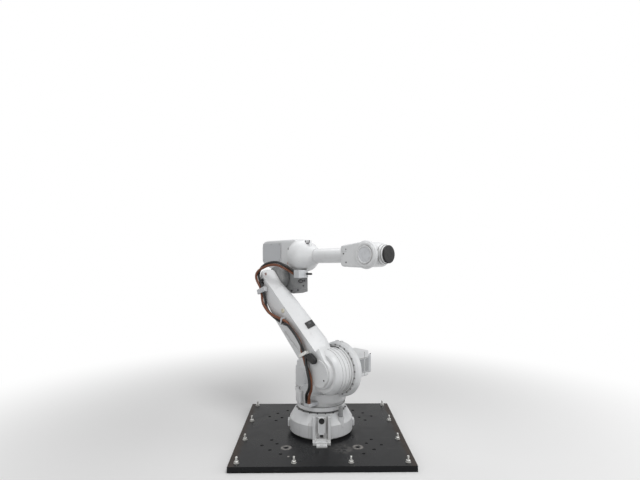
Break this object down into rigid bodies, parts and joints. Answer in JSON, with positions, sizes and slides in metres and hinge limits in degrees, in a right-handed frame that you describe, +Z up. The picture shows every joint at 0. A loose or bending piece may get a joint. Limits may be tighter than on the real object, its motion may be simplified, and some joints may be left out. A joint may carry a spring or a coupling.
{
  "type": "industrial robot arm",
  "caption": "Six-axis industrial robot arm bolted to a black steel floor plate, with a cable harness clipped along its lower arm.",
  "frame": {"origin": "centre of the floor plate's underside, on the first axis", "axes": "+X to the right in the picture and along the plate's front edge, +Y away from the camera and from the base's front, +Z up along the first axis"},
  "size_m": [1.22, 1.22, 1.5165],
  "materials": {
    "plate_steel": "satin black steel",
    "white_paint": "light cool grey gloss paint",
    "grey_cover": "satin grey paint",
    "dark_casting": "dark grey casting",
    "zinc": "zinc plated steel",
    "black_rubber": "matt black rubber",
    "black_flange": "black oxide steel",
    "brown_cable": "brown cable jacket",
    "black_cable": "black cable jacket"
  },
  "bodies": {
    "base": {"mounting_plate": "plate_steel", "base_casting": "white_paint", "channel_cover": "white_paint", "stop_post": "white_paint", "bearing_ring": "dark_casting", "connector_box": "white_paint", "connector_panel": "grey_cover"},
    "shoulder": {"shoulder_frame": "white_paint", "axis_1_motor": "white_paint", "cable_bracket": "white_paint", "cable_gland": "grey_cover", "axis_2_gear_ring": "grey_cover", "axis_2_motor": "white_paint", "axis_2_motor_cap": "grey_cover", "brown_cable_shoulder": "brown_cable", "black_cable_shoulder": "black_cable"},
    "lower_arm": {"lower_arm_casting": "white_paint", "hub_cover": "white_paint", "front_pad": "black_rubber", "lower_cable_pad": "black_rubber", "metal_clamp": "zinc", "middle_clip": "white_paint", "upper_bracket": "white_paint", "axis_3_gear_ring": "dark_casting", "brown_cable_lower_arm": "brown_cable", "black_cable_lower_arm": "black_cable", "brown_cable_upper_stretch": "brown_cable", "black_cable_upper_stretch": "black_cable"},
    "upper_arm": {"upper_arm_housing": "white_paint", "right_side_cover": "grey_cover", "left_side_cover": "grey_cover", "back_cover": "white_paint", "axis_3_gear_casing": "dark_casting", "axis_3_motor": "dark_casting", "junction_box": "dark_casting", "connector_pin": "dark_casting", "brown_cable_elbow": "brown_cable", "black_cable_elbow": "black_cable"},
    "forearm": {"forearm_tube": "white_paint", "wrist_housing": "white_paint", "right_wrist_cover": "grey_cover", "left_wrist_cover": "grey_cover"},
    "wrist_tilt": {"tilt_housing": "white_paint"},
    "tool_flange": {"tool_disc": "black_flange"}
  },
  "joints": [
    {"name": "axis_1", "type": "hinge", "parent": "base", "child": "shoulder", "pos_m": [0, 0, 0.04], "axis": [0, 0, 1], "range_deg": [-225, 135]},
    {"name": "axis_2", "type": "hinge", "parent": "shoulder", "child": "lower_arm", "pos_m": [0.12157, -0.12588, 0.535], "axis": [0.7193, 0.6947, 0], "range_deg": [-47.5, 90], "deforming": ["brown_cable_shoulder", "black_cable_shoulder"]},
    {"name": "axis_3", "type": "hinge", "parent": "lower_arm", "child": "upper_arm", "pos_m": [-0.30081, 0.3115, 1.19855], "axis": [-0.7193, -0.6947, 0], "range_deg": [-33, 222], "deforming": ["brown_cable_elbow", "black_cable_elbow"]},
    {"name": "axis_4", "type": "hinge", "parent": "upper_arm", "child": "forearm", "pos_m": [0.15547, -0.161, 1.38504], "axis": [0.6946, -0.7192, 0.0175], "range_deg": [-400, 400]},
    {"name": "axis_5", "type": "hinge", "parent": "forearm", "child": "wrist_tilt", "pos_m": [0.36384, -0.37677, 1.39028], "axis": [0.7193, 0.6947, 0], "range_deg": [-125, 120]},
    {"name": "axis_6", "type": "hinge", "parent": "wrist_tilt", "child": "tool_flange", "pos_m": [0.43329, -0.44869, 1.39202], "axis": [0.6946, -0.7192, 0.0175], "range_deg": [-400, 400]}
  ]
}
